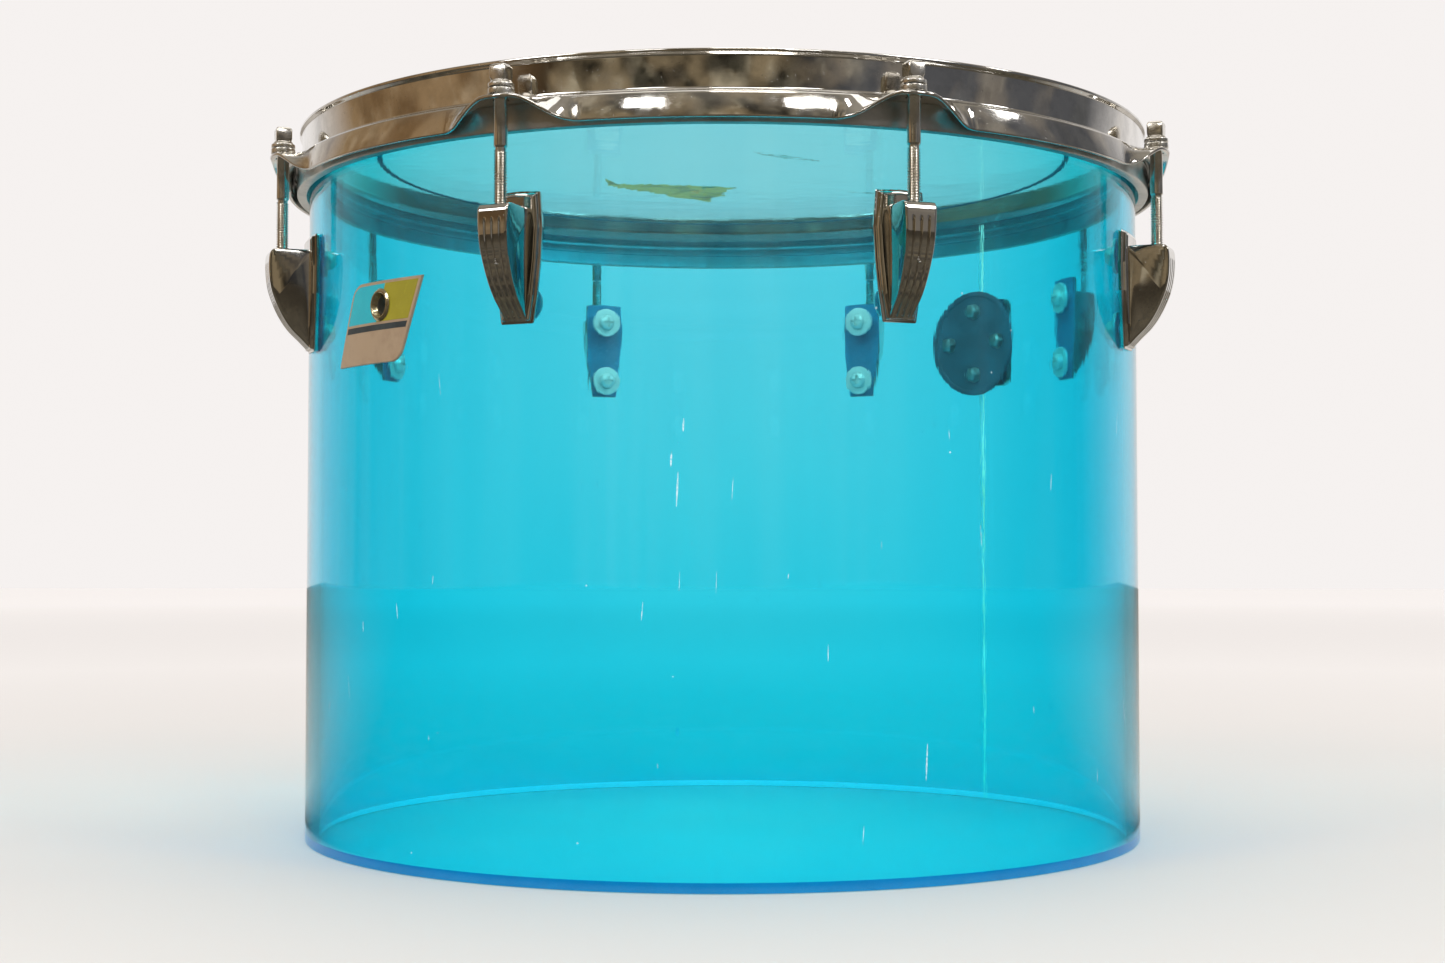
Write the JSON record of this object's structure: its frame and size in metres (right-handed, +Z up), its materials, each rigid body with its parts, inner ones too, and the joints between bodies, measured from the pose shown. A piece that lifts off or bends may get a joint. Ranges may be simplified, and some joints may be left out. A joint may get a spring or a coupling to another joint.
{
  "type": "single-headed concert tom drum",
  "caption": "Open-bottomed transparent acrylic drum with a clear head under a chromed flanged hoop, held by tension rods and lug casings, with a shell badge and an arm holder.",
  "frame": {"origin": "on the shell's axis, in the plane of its bottom rim", "axes": "+Z up along the shell's axis towards the drumhead; -Y is the front, midway between two lug casings; the badge is 45 degrees to the left of the front and the arm holder opposite it"},
  "size_m": [0.3948, 0.3948, 0.3151],
  "materials": {
    "blue_acrylic": "transparent, polished, lightly scratched",
    "clear_film": "clear polyester film with a worn playing area",
    "satin_aluminium": "satin",
    "hoop_chrome": "polished, scratched and lightly pitted",
    "lug_chrome": "polished",
    "plated_rod": "plated, dulled",
    "plated_washer": "plated",
    "brass_nut": "turned",
    "zinc_screw": "zinc plated",
    "badge_plate": "satin metal with two enamel colour blocks",
    "nickel_grommet": "nickel plated brass, worn",
    "dark_plate": "dark textured",
    "cast_chrome": "plated die casting"
  },
  "bodies": {
    "shell_assembly": {"shell": "blue_acrylic", "drumhead_film": "clear_film", "badge": "badge_plate", "vent_grommet": "nickel_grommet", "mount_backing_plate": "dark_plate", "mount_bracket": "cast_chrome", "lug_casing_1": "lug_chrome", "swivel_nut_1": "brass_nut", "lug_screw_1_upper": "zinc_screw", "lug_screw_1_lower": "zinc_screw", "lug_casing_2": "lug_chrome", "swivel_nut_2": "brass_nut", "lug_screw_2_upper": "zinc_screw", "lug_screw_2_lower": "zinc_screw", "lug_casing_3": "lug_chrome", "swivel_nut_3": "brass_nut", "lug_screw_3_upper": "zinc_screw", "lug_screw_3_lower": "zinc_screw", "lug_casing_4": "lug_chrome", "swivel_nut_4": "brass_nut", "lug_screw_4_upper": "zinc_screw", "lug_screw_4_lower": "zinc_screw", "lug_casing_5": "lug_chrome", "swivel_nut_5": "brass_nut", "lug_screw_5_upper": "zinc_screw", "lug_screw_5_lower": "zinc_screw", "lug_casing_6": "lug_chrome", "swivel_nut_6": "brass_nut", "lug_screw_6_upper": "zinc_screw", "lug_screw_6_lower": "zinc_screw", "lug_casing_7": "lug_chrome", "swivel_nut_7": "brass_nut", "lug_screw_7_upper": "zinc_screw", "lug_screw_7_lower": "zinc_screw", "lug_casing_8": "lug_chrome", "swivel_nut_8": "brass_nut", "lug_screw_8_upper": "zinc_screw", "lug_screw_8_lower": "zinc_screw"},
    "hoop_assembly": {"counter_hoop": "hoop_chrome", "flesh_hoop": "satin_aluminium", "rod_washer_1": "plated_washer", "rod_washer_2": "plated_washer", "rod_washer_3": "plated_washer", "rod_washer_4": "plated_washer", "rod_washer_5": "plated_washer", "rod_washer_6": "plated_washer", "rod_washer_7": "plated_washer", "rod_washer_8": "plated_washer"},
    "tension_rod_1": {"tension_rod_1": "plated_rod"},
    "tension_rod_2": {"tension_rod_2": "plated_rod"},
    "tension_rod_3": {"tension_rod_3": "plated_rod"},
    "tension_rod_4": {"tension_rod_4": "plated_rod"},
    "tension_rod_5": {"tension_rod_5": "plated_rod"},
    "tension_rod_6": {"tension_rod_6": "plated_rod"},
    "tension_rod_7": {"tension_rod_7": "plated_rod"},
    "tension_rod_8": {"tension_rod_8": "plated_rod"},
    "clamp_pad": {"clamp_pad": "brass_nut"},
    "wing_screw": {"wing_screw": "plated_rod"}
  },
  "joints": [
    {"name": "head_tension", "type": "slide", "parent": "shell_assembly", "child": "hoop_assembly", "axis": [0, 0, 1], "range_m": [-0.0015, 0.003]},
    {"name": "rod_turn_1", "type": "hinge", "parent": "hoop_assembly", "child": "tension_rod_1", "pos_m": [0.07772, -0.18764, 0.3016], "axis": [0, 0, 1], "range_deg": [-513, 1023]},
    {"name": "rod_turn_2", "type": "hinge", "parent": "hoop_assembly", "child": "tension_rod_2", "pos_m": [0.18764, -0.07772, 0.3016], "axis": [0, 0, 1], "range_deg": [-513, 1023]},
    {"name": "rod_turn_3", "type": "hinge", "parent": "hoop_assembly", "child": "tension_rod_3", "pos_m": [0.18764, 0.07772, 0.3016], "axis": [0, 0, 1], "range_deg": [-513, 1023]},
    {"name": "rod_turn_4", "type": "hinge", "parent": "hoop_assembly", "child": "tension_rod_4", "pos_m": [0.07772, 0.18764, 0.3016], "axis": [0, 0, 1], "range_deg": [-513, 1023]},
    {"name": "rod_turn_5", "type": "hinge", "parent": "hoop_assembly", "child": "tension_rod_5", "pos_m": [-0.07772, 0.18764, 0.3016], "axis": [0, 0, 1], "range_deg": [-513, 1023]},
    {"name": "rod_turn_6", "type": "hinge", "parent": "hoop_assembly", "child": "tension_rod_6", "pos_m": [-0.18764, 0.07772, 0.3016], "axis": [0, 0, 1], "range_deg": [-513, 1023]},
    {"name": "rod_turn_7", "type": "hinge", "parent": "hoop_assembly", "child": "tension_rod_7", "pos_m": [-0.18764, -0.07772, 0.3016], "axis": [0, 0, 1], "range_deg": [-513, 1023]},
    {"name": "rod_turn_8", "type": "hinge", "parent": "hoop_assembly", "child": "tension_rod_8", "pos_m": [-0.07772, -0.18764, 0.3016], "axis": [0, 0, 1], "range_deg": [-513, 1023]},
    {"name": "clamp_slide", "type": "slide", "parent": "shell_assembly", "child": "clamp_pad", "axis": [0.6972, -0.7169, 0], "range_m": [-0.004, 0.0014]},
    {"name": "wing_screw_turn", "type": "hinge", "parent": "clamp_pad", "child": "wing_screw", "pos_m": [0.14295, 0.13901, 0.2375], "axis": [0.6972, -0.7169, 0], "range_deg": [-1136, 399]}
  ],
  "couplings": [
    {"joint": "rod_turn_1", "follows": "head_tension", "rad_per_m": 5936.9},
    {"joint": "rod_turn_2", "follows": "head_tension", "rad_per_m": 5936.9},
    {"joint": "rod_turn_3", "follows": "head_tension", "rad_per_m": 5936.9},
    {"joint": "rod_turn_4", "follows": "head_tension", "rad_per_m": 5936.9},
    {"joint": "rod_turn_5", "follows": "head_tension", "rad_per_m": 5936.9},
    {"joint": "rod_turn_6", "follows": "head_tension", "rad_per_m": 5936.9},
    {"joint": "rod_turn_7", "follows": "head_tension", "rad_per_m": 5936.9},
    {"joint": "rod_turn_8", "follows": "head_tension", "rad_per_m": 5936.9},
    {"joint": "wing_screw_turn", "follows": "clamp_slide", "rad_per_m": 4947.4}
  ]
}
